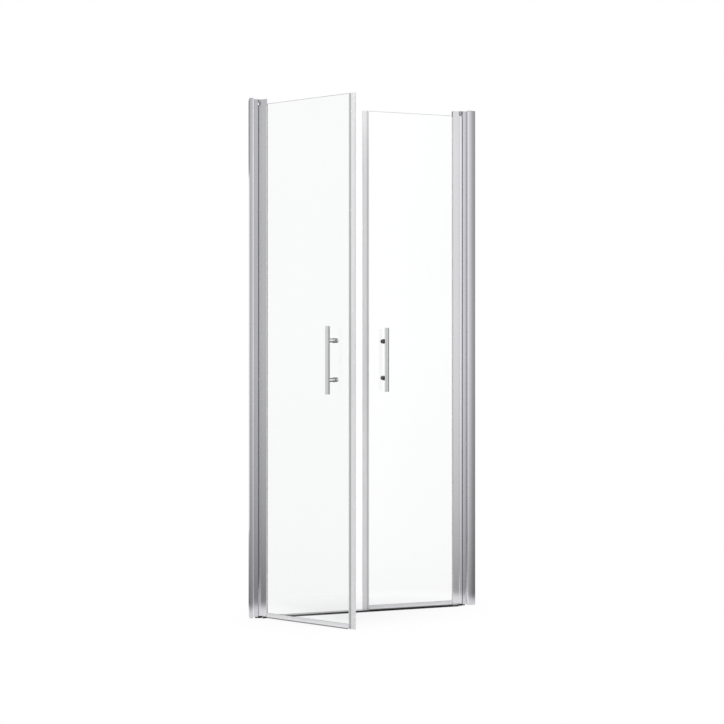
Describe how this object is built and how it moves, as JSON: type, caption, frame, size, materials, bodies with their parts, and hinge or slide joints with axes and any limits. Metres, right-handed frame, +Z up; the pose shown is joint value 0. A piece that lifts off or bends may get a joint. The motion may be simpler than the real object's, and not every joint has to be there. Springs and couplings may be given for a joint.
{
  "type": "hinged shower door",
  "caption": "Niche shower door with two clear glass pendulum leaves on aluminium wall profiles, each with a bar handle and seals.",
  "frame": {"origin": "on the floor, midway between the two pivot axes, in the plane of the closed leaves", "axes": "+Z up along the pivots, +X along the closed leaves to the right as seen from the room, -Y toward the room"},
  "size_m": [0.8716, 0.2537, 1.92],
  "materials": {
    "satin_aluminium": "satin anodised",
    "hinge_aluminium": "satin anodised",
    "cast_metal": "satin, cast",
    "grey_plastic": "matte",
    "white_plastic": "matte",
    "steel": "turned",
    "grey_rubber": "matte",
    "clear_rubber": "translucent",
    "clear_seal": "translucent",
    "magnet_strip": "matte",
    "chrome": "polished",
    "clear_glass": "clear, polished"
  },
  "bodies": {
    "frame": {"left_wall_channel": "satin_aluminium", "left_channel_cap": "grey_plastic", "left_channel_gasket": "grey_rubber", "left_frame_profile": "satin_aluminium", "left_clamp_screws": "steel", "left_top_pivot_block": "cast_metal", "left_bottom_pivot_block": "cast_metal", "left_top_bush": "white_plastic", "left_bottom_bush": "white_plastic", "left_block_screws": "steel", "right_wall_channel": "satin_aluminium", "right_channel_cap": "grey_plastic", "right_channel_gasket": "grey_rubber", "right_frame_profile": "satin_aluminium", "right_clamp_screws": "steel", "right_top_pivot_block": "cast_metal", "right_bottom_pivot_block": "cast_metal", "right_top_bush": "white_plastic", "right_bottom_bush": "white_plastic", "right_block_screws": "steel", "threshold_profile": "satin_aluminium", "threshold_end_plugs": "grey_plastic", "threshold_tape": "grey_rubber"},
    "left_leaf": {"left_hinge_profile": "hinge_aluminium", "left_top_hinge_cap": "hinge_aluminium", "left_bottom_hinge_cap": "white_plastic", "left_top_pin": "steel", "left_bottom_pin": "steel", "left_grub_screws": "steel", "left_glazing_gasket": "clear_rubber", "left_glass": "clear_glass", "left_edge_seal": "clear_seal", "left_edge_magnet": "magnet_strip", "left_drip_seal": "clear_seal", "left_pull_bar": "chrome", "left_pull_posts": "chrome", "left_handle_washers": "white_plastic", "left_handle_studs": "steel", "left_inner_knobs": "chrome"},
    "right_leaf": {"right_hinge_profile": "hinge_aluminium", "right_top_hinge_cap": "hinge_aluminium", "right_bottom_hinge_cap": "white_plastic", "right_top_pin": "steel", "right_bottom_pin": "steel", "right_grub_screws": "steel", "right_glazing_gasket": "clear_rubber", "right_glass": "clear_glass", "right_edge_seal": "clear_seal", "right_edge_magnet": "magnet_strip", "right_drip_seal": "clear_seal", "right_pull_bar": "chrome", "right_pull_posts": "chrome", "right_handle_washers": "white_plastic", "right_handle_studs": "steel", "right_inner_knobs": "chrome"}
  },
  "joints": [
    {"name": "left_leaf_swing", "type": "hinge", "parent": "frame", "child": "left_leaf", "pos_m": [-0.3885, 0, 0], "axis": [0, 0, 1], "range_deg": [-50, 125]},
    {"name": "right_leaf_swing", "type": "hinge", "parent": "frame", "child": "right_leaf", "pos_m": [0.3885, 0, 0], "axis": [0, 0, 1], "range_deg": [-90, 85]}
  ]
}
